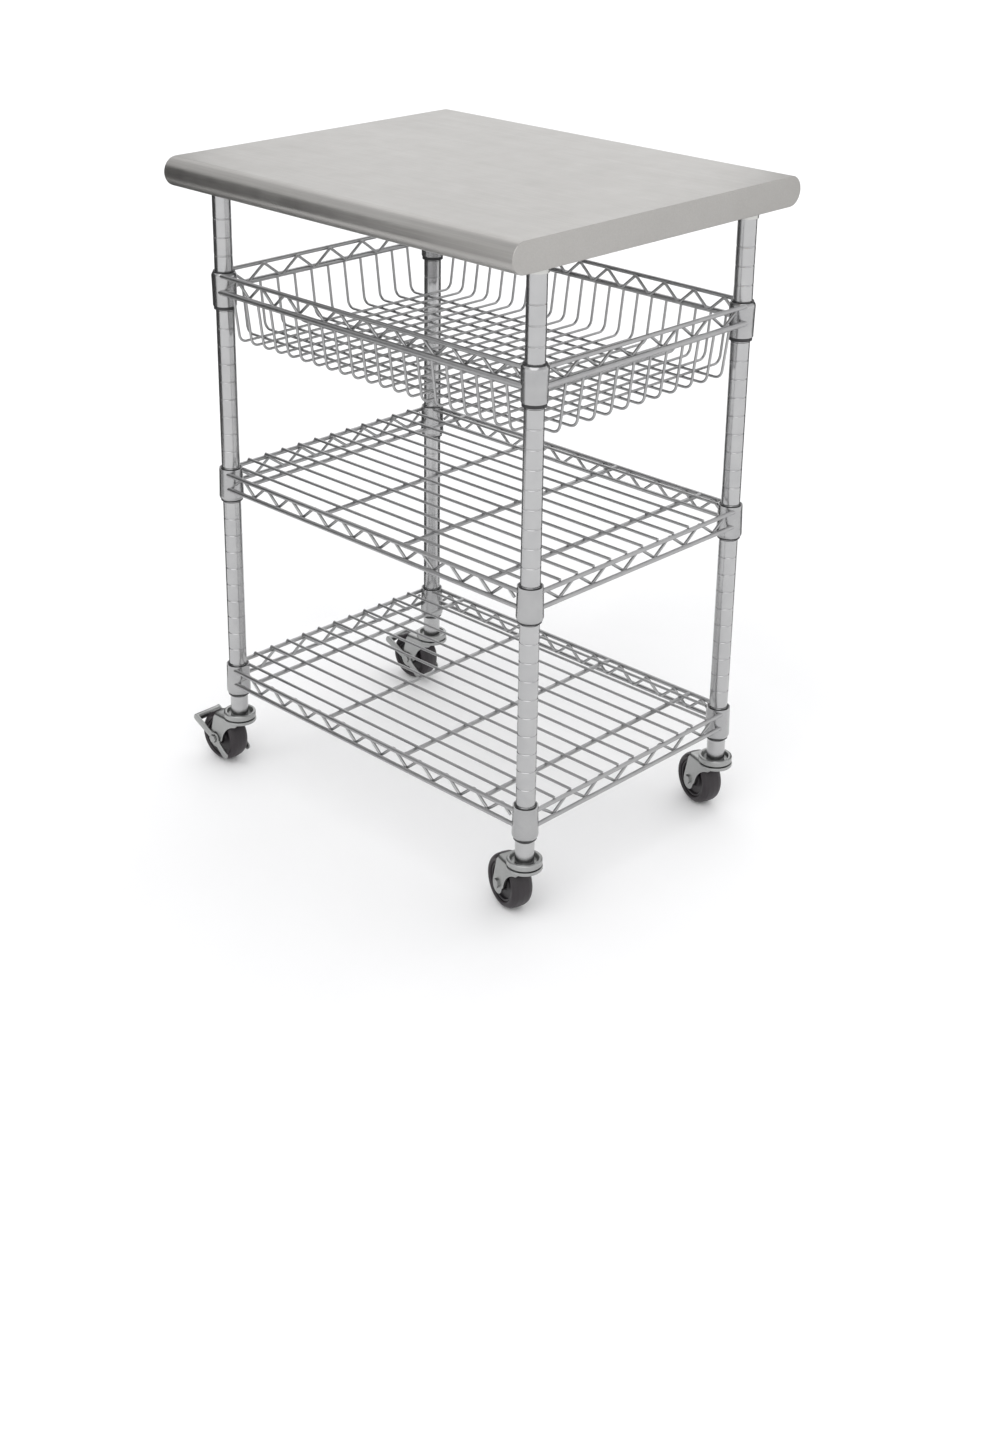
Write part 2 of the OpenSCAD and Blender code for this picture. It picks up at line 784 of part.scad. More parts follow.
place() hub(BACK_LEFT, turn_back_left);  // hub_back_left
place() tyre(FRONT_LEFT, turn_front_left);  // tyre_front_left
place() tyre(FRONT_RIGHT, turn_front_right);  // tyre_front_right
place() tyre(BACK_RIGHT, turn_back_right);  // tyre_back_right
place() tyre(BACK_LEFT, turn_back_left);  // tyre_back_left
place() brake(FRONT_LEFT, turn_front_left);  // brake_front_left
place() brake(BACK_LEFT, turn_back_left);  // brake_back_left
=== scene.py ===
import json
import math

import bmesh
import bpy
from mathutils import Matrix, Quaternion, Vector


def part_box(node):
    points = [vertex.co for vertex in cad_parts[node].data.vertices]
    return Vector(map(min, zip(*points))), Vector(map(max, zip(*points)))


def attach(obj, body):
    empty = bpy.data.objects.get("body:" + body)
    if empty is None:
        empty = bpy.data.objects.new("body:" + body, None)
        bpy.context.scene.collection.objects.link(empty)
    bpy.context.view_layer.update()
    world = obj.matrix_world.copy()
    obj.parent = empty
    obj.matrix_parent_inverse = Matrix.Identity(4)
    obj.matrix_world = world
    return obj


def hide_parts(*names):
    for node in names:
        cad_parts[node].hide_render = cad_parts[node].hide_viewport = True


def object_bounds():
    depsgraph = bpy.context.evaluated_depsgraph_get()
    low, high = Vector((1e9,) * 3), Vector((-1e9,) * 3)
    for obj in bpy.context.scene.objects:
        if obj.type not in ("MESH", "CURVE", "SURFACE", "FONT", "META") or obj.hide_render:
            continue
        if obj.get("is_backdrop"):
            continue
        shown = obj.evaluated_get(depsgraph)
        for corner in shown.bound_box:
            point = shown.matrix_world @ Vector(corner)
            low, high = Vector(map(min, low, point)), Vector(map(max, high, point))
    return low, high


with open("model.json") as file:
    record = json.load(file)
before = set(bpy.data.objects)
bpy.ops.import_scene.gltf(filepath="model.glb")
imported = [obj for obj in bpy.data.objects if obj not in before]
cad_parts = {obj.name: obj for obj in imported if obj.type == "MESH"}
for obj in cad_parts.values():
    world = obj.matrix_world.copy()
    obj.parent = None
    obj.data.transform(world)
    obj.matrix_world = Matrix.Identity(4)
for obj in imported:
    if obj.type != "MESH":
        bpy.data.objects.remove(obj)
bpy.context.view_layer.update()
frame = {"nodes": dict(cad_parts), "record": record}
NODES = frame["nodes"]

MM = 0.001
CORNERS = ("front_left", "front_right", "back_right", "back_left")
TURNS = {"front_left": 181, "front_right": 164, "back_right": 163, "back_left": 183}
BRAKED = ("front_left", "back_left")
SHARP = math.radians(38)

# Sizes shared with the CAD part, in millimetres
TOP_HEIGHT = 915
NOSE_R = 20
TOP_FLAT = 498
TOP_END = 317
SHEET = 1.2
POST_X, POST_Y = 288.5, 197.5
RIM_X, RIM_Y = 300.5, 209.5
LEVELS = {"bottom": 118.4, "middle": 423.2}
LOW_RISE, TOP_RISE = 20, 41.5
RIM_R, ZIGZAG_R = 3, 2
GROOVE = 25.4
ZIGZAG_RUN_Y = 30.5
ZIGZAG_INSET = 19
MAT_PITCH, MAT_LAST = 31.2, 6
ROD_PLACES = tuple(k * 152.4 for k in (-1.5, -0.5, 0.5, 1.5))
BASKET_TOP, BASKET_LOW = 751.1, 728.1
BASKET_LOW_R, BASKET_R = 4, 1.8
BASKET_BEND = 12
BASKET_DROP_Y, BASKET_DROP_X = 66, 69.6
BASKET_LEAN = 9
BASKET_LAST_X, BASKET_LAST_Y = 10, 5
LONG_PITCH = 31.25
CAP_R, CAP_LOW, CAP_TOP, CAP_FLOOR = 23.5, 80.3, 89, 83.2
STEM_R = 5.02
TRAIL, WHEEL_R, TYRE_W = 35, 37.5, 31
HUB_R, BUSH_R = 27, 6.2
FORK_OUT, FORK_BACK, FORK_FRONT = 19.7, -15, 36
EYE_R, EYE_Z = 11, 33.5
CROWN_TOP, CROWN_R = 79, 24
RACE_INNER, RACE_LOW, RACE_HIGH = 21.6, 74, 78.6
ARM_IN, ARM_OUT, ARM_HALF_W, ARM_EYE_R = 20.2, 22.7, 5.5, 9.4
BRAKE_TOE, BRAKE_TIP = (TRAIL - 23, WHEEL_R - 20), (TRAIL + 40, WHEEL_R + 20)
PEDAL_R = 5.5

# Where one wire is welded to another, it sinks in this far
WELD_BITE = 0.2

low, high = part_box("worktop_right_end")
cart_x = high.x / MM - TOP_END


# ---------- meshes ----------


class Shape:
    """Vertices and faces in millimetres, gathered into one piece."""

    def __init__(self):
        self.verts = []
        self.faces = []

    def ring(self, points):
        start = len(self.verts)
        self.verts.extend(Vector(p) for p in points)
        return list(range(start, len(self.verts)))

    def bridge(self, a, b):
        n = len(a)
        for i in range(n):
            j = (i + 1) % n
            self.faces.append((a[i], a[j], b[j], b[i]))

    def strip(self, a, b):
        for i in range(len(a) - 1):
            self.faces.append((a[i], a[i + 1], b[i + 1], b[i]))

    def tube(self, path, radius, sides=14, bevel=0.3):
        """A wire along a path, its ends cut square with a small rounded edge."""
        path = [Vector(p) for p in path]
        first = (path[1] - path[0]).normalized()
        last = (path[-1] - path[-2]).normalized()
        stations = [(path[0], radius - bevel)]
        stations.append((path[0] + first * bevel, radius))
        stations.extend((p, radius) for p in path[1:-1])
        stations.append((path[-1] - last * bevel, radius))
        stations.append((path[-1], radius - bevel))
        side = first.orthogonal().normalized()
        rings = []
        for i, (point, r) in enumerate(stations):
            before = stations[max(i - 1, 0)][0]
            after = stations[min(i + 1, len(stations) - 1)][0]
            along = (after - before).normalized()
            side = (side - along * side.dot(along)).normalized()
            other = along.cross(side)
            rings.append(
                self.ring(
                    point + (side * math.cos(a) + other * math.sin(a)) * r
                    for a in (math.tau * k / sides for k in range(sides))
                )
            )
        for a, b in zip(rings, rings[1:]):
            self.bridge(a, b)
        self.faces.append(tuple(reversed(rings[0])))
        self.faces.append(tuple(rings[-1]))

    def lathe(self, profile, steps=72, start=0.0, turn=math.tau):
        """A closed (radius, height) outline turned round Z."""
        whole = abs(turn - math.tau) < 1e-6
        count = steps if whole else steps + 1
        rings = []
        for k in range(count):
            a = start + turn * k / steps
            rings.append(self.ring((r * math.cos(a), r * math.sin(a), z) for r, z in profile))
        for k in range(steps):
            self.bridge(rings[k], rings[(k + 1) % count])
        if not whole:
            self.faces.append(tuple(reversed(rings[0])))
            self.faces.append(tuple(rings[-1]))

    def bead(self, centre, size, squash, rings=5, sides=8):
        """A small rounded weld bead."""
        centre = Vector(centre)
        rows = []
        for i in range(1, rings):
            lat = math.pi * i / rings
            out = [
                (math.sin(lat) * math.cos(a), math.sin(lat) * math.sin(a), math.cos(lat))
                for a in (math.tau * k / sides for k in range(sides))
            ]
            rows.append(self.ring(centre + size * squash * Vector(v) for v in out))
        for a, b in zip(rows, rows[1:]):
            self.bridge(a, b)
        self.faces.append(tuple(reversed(rows[0])))
        self.faces.append(tuple(rows[-1]))

    def plate(self, edge, low, high):
        """An outline in the XZ plane given thickness along Y."""
        a = self.ring((x, low, z) for x, z in edge)
        b = self.ring((x, high, z) for x, z in edge)
        self.bridge(a, b)
        self.faces.append(tuple(reversed(a)))
        self.faces.append(tuple(b))


def rounded(points, radius, steps=6, closed=False):
    """The same path with its corners turned into arcs."""
    points = [Vector(p) for p in points]
    n = len(points)
    out = [] if closed else [points[0]]
    spots = range(n) if closed else range(1, n - 1)
    for i in spots:
        a, b, c = points[i - 1], points[i], points[(i + 1) % n]
        u, w = (a - b), (c - b)
        room = 0.48 * min(u.length, w.length)
        u, w = u.normalized(), w.normalized()
        half = u.angle(w) / 2
        if half > math.pi / 2 - 1e-3:
            out.append(b)
            continue
        cut = min(radius / math.tan(half), room)
        r = cut * math.tan(half)
        centre = b + (u + w).normalized() * r / math.sin(half)
        begin, end = b + u * cut - centre, b + w * cut - centre
        for k in range(steps + 1):
            t = k / steps
            angle = begin.angle(end)
            mix = (begin * math.sin((1 - t) * angle) + end * math.sin(t * angle)) / math.sin(angle)
            out.append(centre + mix)
    if not closed:
        out.append(points[-1])
    return out


def outline(points, radius, steps=4):
    """A closed 2-D outline with rounded corners."""
    return [(p.x, p.y) for p in rounded([(x, y, 0) for x, y in points], radius, steps, closed=True)]


def finish_mesh(mesh):
    bm = bmesh.new()
    bm.from_mesh(mesh)
    bmesh.ops.remove_doubles(bm, verts=bm.verts, dist=1e-6)
    bmesh.ops.recalc_face_normals(bm, faces=bm.faces)
    bm.to_mesh(mesh)
    bm.free()
    mesh.shade_smooth()
    mesh.set_sharp_from_angle(angle=SHARP)


def piece(name, shape, material, body="cart_frame", place=None, bevel=0.0, solid=0.0, hides=()):
    """Turns a shape into a named piece that rides on a body and stands for CAD nodes."""
    mesh = bpy.data.meshes.new(name)
    place = place or Matrix.Translation((cart_x, 0, 0))
    mesh.from_pydata([(place @ v) * MM for v in shape.verts], [], shape.faces)
    finish_mesh(mesh)
    obj = bpy.data.objects.new(name, mesh)
    bpy.context.scene.collection.objects.link(obj)
    if solid:
        mod = obj.modifiers.new("thickness", "SOLIDIFY")
        mod.thickness = solid * MM
        mod.offset = -1
    if bevel:
        mod = obj.modifiers.new("edges", "BEVEL")
        mod.width = bevel * MM
        mod.segments = 2
        mod.limit_method = "ANGLE"
        mod.angle_limit = SHARP
    if obj.modifiers:
        bpy.context.view_layer.update()
        ready = obj.evaluated_get(bpy.context.evaluated_depsgraph_get())
        baked = bpy.data.meshes.new_from_object(ready)
        obj.modifiers.clear()
        obj.data = baked
        baked.name = name
        finish_mesh(baked)
    obj.data.materials.clear()
    obj.data.materials.append(MATERIALS[material])
    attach(obj, body)
    if hides:
        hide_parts(*hides)
    return obj


# ---------- materials ----------


class Tree:
    """Builds a material's nodes: every number that is the same all over stays on the shader."""

    def __init__(self, name):
        self.material = bpy.data.materials.new(name)
        self.material.use_nodes = True
        self.nodes = self.material.node_tree.nodes
        self.links = self.material.node_tree.links
        self.shader = self.nodes["Principled BSDF"]
        self.coords = self.nodes.new("ShaderNodeTexCoord").outputs["Object"]

    def put(self, **values):
        for key, value in values.items():
            self.shader.inputs[key.replace("_", " ")].default_value = value

    def join(self, source, socket):
        self.links.new(source, self.shader.inputs[socket])

    def stretch(self, x, y, z):
        node = self.nodes.new("ShaderNodeMapping")
        node.inputs["Scale"].default_value = (x, y, z)
        self.links.new(self.coords, node.inputs["Vector"])
        return node.outputs["Vector"]

    def noise(self, scale, detail=3.0, rough=0.5, vector=None):
        node = self.nodes.new("ShaderNodeTexNoise")
        node.inputs["Scale"].default_value = scale
        node.inputs["Detail"].default_value = detail
        node.inputs["Roughness"].default_value = rough
        self.links.new(vector or self.coords, node.inputs["Vector"])
        return node.outputs["Fac"]

    def remap(self, value, low, high, out_low, out_high):
        node = self.nodes.new("ShaderNodeMapRange")
        self.links.new(value, node.inputs["Value"])
        limits = {"From Min": low, "From Max": high, "To Min": out_low, "To Max": out_high}
        for key, number in limits.items():
            node.inputs[key].default_value = number
        return node.outputs["Result"]

    def ramp(self, value, stops):
        node = self.nodes.new("ShaderNodeValToRGB")
        ramp = node.color_ramp
        while len(ramp.elements) < len(stops):
            ramp.elements.new(0.5)
        for element, (at, colour) in zip(ramp.elements, stops):
            element.position = at
            element.color = (*colour, 1)
        self.links.new(value, node.inputs["Fac"])
        return node.outputs["Color"]

    def add(self, a, b, weight=1.0):
        node = self.nodes.new("ShaderNodeMath")
        node.operation = "MULTIPLY_ADD"
        self.links.new(b, node.inputs[0])
        node.inputs[1].default_value = weight
        self.links.new(a, node.inputs[2])
        return node.outputs["Value"]

    def bump(self, height, depth, strength=1.0):
        node = self.nodes.new("ShaderNodeBump")
        node.inputs["Strength"].default_value = strength
        node.inputs["Distance"].default_value = depth
        self.links.new(height, node.inputs["Height"])
        self.links.new(node.outputs["Normal"], self.shader.inputs["Normal"])


def brushed_steel(name, light, dark, rough, along=(4, 700, 700)):
    """Satin stainless steel, ground along the cart, with faint wipe marks and scuffs."""
    t = Tree(name)
    grain = t.noise(1.0, 4, 0.6, t.stretch(*along))
    fine = t.noise(1.0, 2, 0.5, t.stretch(along[0] * 3, along[1] * 2.6, along[2] * 2.6))
    cloud = t.noise(5.0, 4, 0.6)
    wipe = t.noise(22.0, 5, 0.65)
    tone = t.add(grain, cloud, 0.7)
    t.join(t.ramp(t.remap(tone, 0.55, 1.15, 0, 1), ((0.0, dark), (1.0, light))), "Base Color")
    t.join(t.remap(t.add(wipe, fine, 0.5), 0.45, 1.05, rough - 0.05, rough + 0.07), "Roughness")
    t.bump(t.add(grain, fine, 0.6), 0.00002)
    t.put(Metallic=1.0)
    return t.material


def plating(name, light, dark, rough, spread=0.08, grain=260.0):
    """Bright plating on steel: faint clouding, orange peel and handling marks."""
    t = Tree(name)
    cloud = t.noise(18.0, 5, 0.6)
    peel = t.noise(grain, 3, 0.5)
    marks = t.noise(90.0, 6, 0.7)
    tone = t.remap(t.add(cloud, marks, 0.5), 0.5, 1.0, 0, 1)
    t.join(t.ramp(tone, ((0.0, dark), (1.0, light))), "Base Color")
    t.join(t.remap(t.add(marks, cloud, 0.6), 0.5, 1.1, rough, rough + spread), "Roughness")
    t.bump(peel, 0.00003)
    t.put(Metallic=1.0)
    return t.material


def plastic(name, colour, worn, rough, depth=0.00003, grain=900.0):
    """Moulded plastic or rubber with a fine grain and paler rubbed places."""
    t = Tree(name)
    cloud = t.noise(30.0, 5, 0.65)
    fine = t.noise(grain, 4, 0.6)
    tone = t.remap(t.add(cloud, fine, 0.3), 0.45, 0.95, 0, 1)
    t.join(t.ramp(tone, ((0.0, colour), (1.0, worn))), "Base Color")
    t.join(t.remap(cloud, 0.3, 0.75, rough - 0.07, rough + 0.1), "Roughness")
    t.bump(fine, depth)
    return t.material


def board(name):
    """The wood-fibre core under the sheet, seen only if the panel is taken off."""
    t = Tree(name)
    flakes = t.noise(160.0, 6, 0.7)
    t.join(t.ramp(flakes, ((0.3, (0.30, 0.19, 0.10)), (0.7, (0.58, 0.42, 0.26)))), "Base Color")
    t.bump(flakes, 0.0002)
    t.put(Roughness=0.85)
    return t.material


MATERIALS = {
    "worktop_steel": brushed_steel("worktop_steel", (0.44, 0.43, 0.415), (0.37, 0.36, 0.345), 0.36),
    "panel_steel": brushed_steel("panel_steel", (0.60, 0.60, 0.60), (0.50, 0.50, 0.50), 0.42),
    "worktop_board": board("worktop_board"),
    "post_chrome": plating("post_chrome", (0.5, 0.5, 0.5), (0.43, 0.43, 0.435), 0.2),
    "collar_chrome": plating("collar_chrome", (0.45, 0.45, 0.45), (0.37, 0.37, 0.375), 0.2),
    "wire_chrome": plating(
        "wire_chrome", (0.42, 0.42, 0.42), (0.35, 0.35, 0.355), 0.28, grain=600.0
    ),
    "caster_zinc": plating("caster_zinc", (0.40, 0.405, 0.40), (0.32, 0.325, 0.32), 0.26, 0.12),
    "screw_zinc": plating("screw_zinc", (0.60, 0.60, 0.58), (0.48, 0.48, 0.46), 0.3),
    "black_nylon": plastic("black_nylon", (0.012, 0.012, 0.013), (0.03, 0.03, 0.032), 0.42),
    "hub_black": plastic("hub_black", (0.012, 0.010, 0.012), (0.026, 0.022, 0.025), 0.4),
    "tyre_black": plastic(
        "tyre_black", (0.011, 0.008, 0.010), (0.028, 0.021, 0.026), 0.45, 0.00006, 500.0
    ),
}

SLOTS = {part["node"]: part["material_slot"] for part in frame["record"]["subparts"]}

for name, node in NODES.items():
    material = MATERIALS[SLOTS[name]]
    if not node.material_slots:
        node.data.materials.append(material)
    for slot in node.material_slots:
        slot.material = material
    node.data.shade_smooth()
    node.data.set_sharp_from_angle(angle=math.radians(30))


# ---------- worktop ends ----------


def stadium(radius, steps=24):
    """The worktop's end outline as (y, z) about its centre."""
    points = []
    for side in (1, -1):
        for k in range(steps + 1):
            a = math.pi * k / steps - math.pi / 2
            y = TOP_FLAT / 2 + radius * math.cos(a)
            points.append((side * y, side * radius * math.sin(a)))
    return points


def worktop_end(side, name, node):
    """The welded end plate, its outer edge ground to a small radius."""
    shape = Shape()
    edge = 1.1
    steps = 5
    rows = [(TOP_END - SHEET, NOSE_R)]
    for a in (math.pi / 2 * k / steps for k in range(steps + 1)):
        rows.append((TOP_END - edge + edge * math.sin(a), NOSE_R - edge * (1 - math.cos(a))))
    rings = [
        shape.ring((side * x, y, TOP_HEIGHT - NOSE_R + z) for y, z in stadium(r)) for x, r in rows
    ]
    for a, b in zip(rings, rings[1:]):
        shape.bridge(a, b)
    shape.faces.append(tuple(reversed(rings[0])))
    shape.faces.append(tuple(rings[-1]))
    return piece(name, shape, "worktop_steel", hides=(node,))


worktop_end(-1, "worktop_left_cap", "worktop_left_end")
worktop_end(1, "worktop_right_cap", "worktop_right_end")


# ---------- wires ----------


def zigzag_path(run, reach, low, high):
    """A wire bent up and down between two heights, as (distance, height)."""

    def height(s):
        phase = abs(s) % (2 * run)
        return high - (high - low) * (phase if phase < run else 2 * run - phase) / run

    last = int(reach // run)
    stops = [-reach] + [k * run for k in range(-last, last + 1)] + [reach]
    return [(s, height(s)) for s in stops]


def zigzags(name, low, high, inset, node):
    shape = Shape()
    bend = 4.5
    reach_x, reach_y = POST_X - ZIGZAG_INSET, POST_Y - ZIGZAG_INSET
    for side in (-1, 1):
        y, x = side * (RIM_Y - inset), side * (RIM_X - inset)
        path = [(s, y, z) for s, z in zigzag_path(GROOVE, reach_x, low, high)]
        shape.tube(rounded(path, bend), ZIGZAG_R)
        path = [(x, s, z) for s, z in zigzag_path(ZIGZAG_RUN_Y, reach_y, low, high)]
        shape.tube(rounded(path, bend), ZIGZAG_R)
    return piece(name, shape, "wire_chrome", hides=(node,))


for level, base in LEVELS.items():
    zigzags(
        level + "_shelf_zigzag_wires",
        base + LOW_RISE,
        base + TOP_RISE,
        RIM_R + ZIGZAG_R - WELD_BITE,
        level + "_shelf_zigzags",
    )
zigzags(
    "basket_zigzag_wires",
    BASKET_LOW,
    BASKET_TOP,
    BASKET_LOW_R + ZIGZAG_R - WELD_BITE,
    "basket_zigzags",
)


def basket_path(rim, drop):
    """A basket wire from rim to rim, as (distance, height) in its own plane."""
    foot = rim - BASKET_LEAN
    top = BASKET_LOW - BASKET_LOW_R + 1.0
    floor = BASKET_LOW - drop
    return [(-rim, top), (-foot, floor), (foot, floor), (rim, top)]


def basket_wires():
    cross = Shape()
    for k in range(-BASKET_LAST_X, BASKET_LAST_X + 1):
        path = [(k * GROOVE, s, z) for s, z in basket_path(RIM_Y, BASKET_DROP_Y)]
        cross.tube(rounded(path, BASKET_BEND, 8), BASKET_R, 12)
    hidden = ("basket_front_wall", "basket_back_wall", "basket_floor")
    piece("basket_cross_wires", cross, "wire_chrome", hides=hidden)
    along = Shape()
    for k in range(-BASKET_LAST_Y, BASKET_LAST_Y + 1):
        path = [(s, k * LONG_PITCH, z) for s, z in basket_path(RIM_X, BASKET_DROP_X)]
        along.tube(rounded(path, BASKET_BEND, 8), BASKET_R, 12)
    hidden = ("basket_left_wall", "basket_right_wall")
    piece("basket_long_wires", along, "wire_chrome", hides=hidden)


basket_wires()


def weld_beads(name, level):
    """Small spot-weld beads where the shelf wires cross."""
    shape = Shape()
    base = LEVELS[level]
    touch = base + TOP_RISE + RIM_R
    spot, spot_squash = 1.5, Vector((1.5, 1.5, 0.7))
    end, end_squash = 2.6, Vector((1.25, 0.5, 1.25))
    for k in range(-MAT_LAST, MAT_LAST + 1):
        y = k * MAT_PITCH
        for x in ROD_PLACES:
            shape.bead((x, y, touch), spot, spot_squash)
        if abs(k) < MAT_LAST:
            for side in (-1, 1):
                shape.bead((side * RIM_X, y, touch), spot, spot_squash)
    for x in ROD_PLACES:
        for side in (-1, 1):
            shape.bead((x, side * (RIM_Y - RIM_R), base + TOP_RISE), end, end_squash)
    return piece(name, shape, "wire_chrome")


weld_beads("middle_shelf_welds", "middle")
weld_beads("bottom_shelf_welds", "bottom")


# ---------- casters ----------


def caster_place(corner):
    """From a caster's own axes, wheel on +X and swivel at the origin, to the row frame."""
    low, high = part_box("post_" + corner)
    middle = (low + high) / 2 / MM
    return Matrix.Translation((middle.x, middle.y, 0)) @ Matrix.Rotation(
        math.radians(TURNS[corner]), 4, "Z"
    )


def swivel_caps():
    recess_top, recess_foot = 18.6, 17.4
    section = [
        (STEM_R, CAP_LOW), (CAP_R, CAP_LOW), (CAP_R, CAP_TOP),
        (recess_top, CAP_TOP), (recess_foot, CAP_FLOOR), (STEM_R, CAP_FLOOR),
    ]
    for corner in CORNERS:
        shape = Shape()
        shape.lathe(outline(section, 1.6, 5), 96)
        hides = ("swivel_caps",) if corner == CORNERS[0] else ()
        place = caster_place(corner)
        piece("swivel_cap_" + corner, shape, "caster_zinc", place=place, hides=hides)


def fork_edges(z):
    """The side plate's back and front edge at a height."""
    eye = math.sqrt(max(EYE_R**2 - (z - EYE_Z) ** 2, 0.02))
    if z <= EYE_Z:
        return TRAIL - eye, TRAIL + eye
    eye_back, back_rise = TRAIL - EYE_R, 41
    line = eye_back - (z - EYE_Z) * (eye_back - FORK_BACK) / back_rise
    cut_x, cut_z, cut_r = -20, 30, 41
    cut = cut_x + math.sqrt(max(cut_r**2 - (z - cut_z) ** 2, 0))
    back = max(line, cut, FORK_BACK)
    eye_top, plate_top = WHEEL_R + 1, CROWN_TOP - 1
    if z < eye_top:
        return back, TRAIL + max(eye, EYE_R * (1 - (eye_top - z) * 0.002))
    front = TRAIL + EYE_R
    return back, front - (front - FORK_FRONT) * (z - eye_top) / (plate_top - eye_top)


def fork_shape():
    """A fork pressed from one plate: crown, rounded shoulders and tapering legs."""
    shape = Shape()
    shoulder = 4.5
    z = CROWN_TOP - shoulder
    section = [(y, CROWN_TOP) for y in (0, 4, 8, 12)]
    for a in (math.pi / 2 * k / 6 for k in range(7)):
        section.append((FORK_OUT - shoulder + shoulder * math.sin(a), z + shoulder * math.cos(a)))
    bottom = EYE_Z - EYE_R + 0.15
    steps = 48
    section.extend((FORK_OUT, z + (bottom - z) * k / steps) for k in range(1, steps + 1))
    whole = [(-y, h) for y, h in reversed(section[1:])] + section
    columns = 14
    straight, rounding = 14, 0.12
    rows = []
    for y, h in whole:
        if h > z - 0.01:
            back = -math.sqrt(CROWN_R**2 - y**2)
            front = min(fork_edges(z)[1], FORK_FRONT - max(0, abs(y) - straight) * rounding)
        else:
            back, front = fork_edges(h)
        step = (front - back) / columns
        rows.append(shape.ring((back + step * c, y, h) for c in range(columns + 1)))
    for a, b in zip(rows, rows[1:]):
        shape.strip(a, b)
    return shape


def race_shape():
    """The skirt behind the crown that covers the lower ball race."""
    shape = Shape()
    section = [
        (RACE_INNER, RACE_LOW), (CROWN_R, RACE_LOW), (CROWN_R, RACE_HIGH), (RACE_INNER, RACE_HIGH)
    ]
    start, turn = math.radians(70), math.radians(220)
    shape.lathe(outline(section, 1.1, 4), 60, start, turn)
    return shape


def forks():
    for corner in CORNERS:
        place = caster_place(corner)
        piece(
            "fork_plate_" + corner,
            fork_shape(),
            "caster_zinc",
            "swivel_" + corner,
            place,
            bevel=0.5,
            solid=2.5,
            hides=("fork_" + corner,),
        )
        piece("fork_skirt_" + corner, race_shape(), "caster_zinc", "swivel_" + corner, place)


def wheel_place(corner):
    return (
        caster_place(corner)
        @ Matrix.Translation((TRAIL, 0, WHEEL_R))
        @ Matrix.Rotation(math.radians(-90), 4, "X")
    )


def wheels():
    # Half sections as (radius, distance from the wheel's middle), mirrored below
    half = TYRE_W / 2
    tread = [
        (WHEEL_R, 0), (36.9, 8), (35.2, half - 3.2), (32, half), (29, half), (HUB_R, half - 1.6)
    ]
    tread = [(r, -w) for r, w in reversed(tread[1:])] + tread
    web = [
        (BUSH_R, 16.8), (10.8, 16.8), (11.1, 10.4), (13.2, 9.0),
        (23.4, 9.0), (24.0, 12.6), (HUB_R + 0.05, 13.0),
    ]
    web = web + [(r, -w) for r, w in reversed(web)]
    for corner in CORNERS:
        place = wheel_place(corner)
        body = "wheel_" + corner
        tyre = Shape()
        tyre.lathe(outline(tread, 3.5, 5), 96)
        piece("tyre_tread_" + corner, tyre, "tyre_black", body, place, hides=("tyre_" + corner,))
        hub = Shape()
        hub.lathe(outline(web, 0.8, 3), 80)
        piece("wheel_hub_" + corner, hub, "hub_black", body, place, hides=("hub_" + corner,))


def brake_shape():
    """Two strips across the wheel's faces, each with an eye round the bolt, and a pedal bar."""
    shape = Shape()
    toe, pivot, tip = Vector(BRAKE_TOE), Vector((TRAIL, WHEEL_R)), Vector(BRAKE_TIP)
    back, ahead = (pivot - toe).normalized(), (tip - pivot).normalized()
    left, right = Vector((-back.y, back.x)) * ARM_HALF_W, Vector((-ahead.y, ahead.x)) * ARM_HALF_W
    middle = (left + right) / 2
    past = ARM_HALF_W - 0.1
    corners = [
        toe - back * past - left, toe - back * past + left, pivot + middle,
        tip + ahead * past + right, tip + ahead * past - right, pivot - middle,
    ]
    strip = outline([(p.x, p.y) for p in corners], 4.6, 5)
    turns = (math.tau * k / 40 for k in range(40))
    eye = [pivot + Vector((math.cos(a), math.sin(a))) * ARM_EYE_R for a in turns]
    eye_inset = 0.15
    for low, high in ((ARM_IN, ARM_OUT), (-ARM_OUT, -ARM_IN)):
        shape.plate(strip, low, high)
        shape.plate(eye, low + eye_inset, high - eye_inset)
    reach = ARM_IN + 0.4
    bar = [(tip.x, y, tip.y) for y in (-reach, 0, reach)]
    shape.tube(bar, PEDAL_R, 28, 0.6)
    return shape


def brakes():
    for corner in BRAKED:
        piece(
            "brake_pedal_" + corner,
            brake_shape(),
            "caster_zinc",
            "brake_lever_" + corner,
            caster_place(corner),
            bevel=0.6,
            hides=("brake_" + corner,),
        )


swivel_caps()
forks()
wheels()
brakes()


# ---------- studio ----------


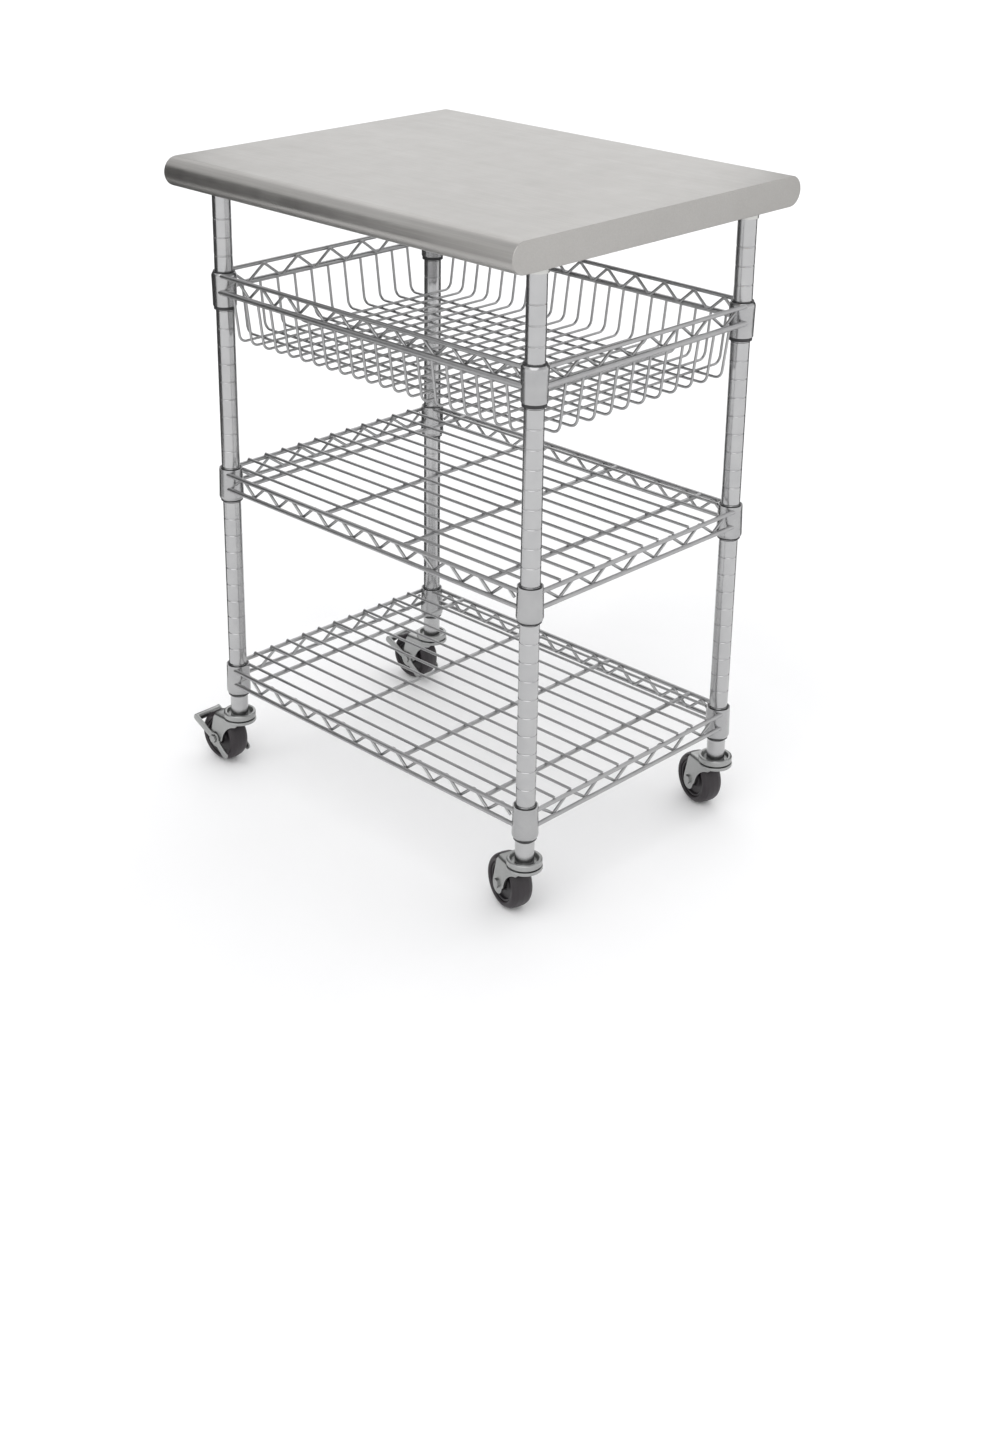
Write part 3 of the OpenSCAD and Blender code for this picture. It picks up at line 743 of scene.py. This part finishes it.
def flag(name, start, end, inner=0.6, radius=1.7, height=1.5):
    """A dark studio card lying and standing beside the cart, seen only in its reflections."""
    steps = 24
    verts, faces = [], []
    for k in range(steps + 1):
        a = math.radians(start + (end - start) * k / steps)
        for r, z in ((inner, 0.001), (radius, 0.001), (radius, height)):
            verts.append((r * math.cos(a), r * math.sin(a), z))
    for k in range(steps):
        for i in (3 * k, 3 * k + 1):
            faces.append((i, i + 3, i + 4, i + 1))
    mesh = bpy.data.meshes.new(name)
    mesh.from_pydata(verts, [], faces)
    card = bpy.data.objects.new(name, mesh)
    bpy.context.scene.collection.objects.link(card)
    t = Tree(name)
    dark, light = (0.05, 0.05, 0.05), (0.07, 0.07, 0.07)
    t.join(t.ramp(t.noise(2.0, 3), ((0.3, dark), (0.7, light))), "Base Color")
    t.put(Roughness=1.0)
    mesh.materials.append(t.material)
    card.visible_camera = False
    card.visible_diffuse = False
    card.visible_shadow = False
    card.visible_transmission = False
    card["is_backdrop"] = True


def studio():
    scene = bpy.context.scene
    scene.view_settings.view_transform = "Standard"
    world = bpy.data.worlds.new("studio")
    scene.world = world
    world.use_nodes = True
    nodes, links = world.node_tree.nodes, world.node_tree.links
    coords = nodes.new("ShaderNodeTexCoord")
    split = nodes.new("ShaderNodeSeparateXYZ")
    ramp = nodes.new("ShaderNodeValToRGB")
    links.new(coords.outputs["Generated"], split.inputs["Vector"])
    links.new(split.outputs["Z"], ramp.inputs["Fac"])
    links.new(ramp.outputs["Color"], nodes["Background"].inputs["Color"])
    ramp.color_ramp.elements[0].position = 0.0
    ramp.color_ramp.elements[0].color = (1, 1, 1, 1)
    ramp.color_ramp.elements[1].position = 0.9
    ramp.color_ramp.elements[1].color = (0.5, 0.5, 0.51, 1)
    nodes["Background"].inputs["Strength"].default_value = 1.3

    floor = bpy.data.meshes.new("floor")
    size = 40
    corners = [(-size, -size, 0), (size, -size, 0), (size, size, 0), (-size, size, 0)]
    floor.from_pydata(corners, [], [(0, 1, 2, 3)])
    ground = bpy.data.objects.new("floor", floor)
    ground.location.z = -0.0005
    scene.collection.objects.link(ground)
    t = Tree("studio_floor")
    dark, light = (0.90, 0.90, 0.90), (0.92, 0.92, 0.92)
    t.join(t.ramp(t.noise(3.0, 3), ((0.3, dark), (0.7, light))), "Base Color")
    t.put(Roughness=0.9)
    floor.materials.append(t.material)
    ground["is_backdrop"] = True

    flag("left_flag", -205, -155)
    flag("middle_flag", -155, -122, 1.6)
    flag("right_flag", 66, 112)

    for name, place, angle, power in (
        ("key", (1.2, -2.0, 3.2), 60, 1.0),
        ("fill", (-1.0, 2.0, 3.2), 70, 0.6),
    ):
        data = bpy.data.lights.new(name, "SUN")
        data.angle = math.radians(angle)
        data.energy = power
        lamp = bpy.data.objects.new(name, data)
        lamp.location = place
        lamp.rotation_mode = "QUATERNION"
        lamp.rotation_quaternion = (-Vector(place)).to_track_quat("-Z", "Y")
        scene.collection.objects.link(lamp)


def camera():
    data = bpy.data.cameras.new("camera")
    data.sensor_width = 36
    data.lens = 50.49
    data.shift_x = 0.0115
    data.shift_y = -0.15
    data.clip_start, data.clip_end = 0.05, 100
    cam = bpy.data.objects.new("camera", data)
    cam.location = (cart_x * MM + 1.81987, -1.8600, 1.4608)
    turn, tilt, roll = math.radians(44.24), math.radians(21.36), math.radians(0.68)
    ahead = Vector(
        (-math.sin(turn) * math.cos(tilt), math.cos(turn) * math.cos(tilt), -math.sin(tilt))
    )
    cam.rotation_mode = "QUATERNION"
    cam.rotation_quaternion = ahead.to_track_quat("-Z", "Y") @ Quaternion((0, 0, 1), roll)
    bpy.context.scene.collection.objects.link(cam)
    bpy.context.scene.camera = cam


studio()
camera()

low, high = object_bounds()
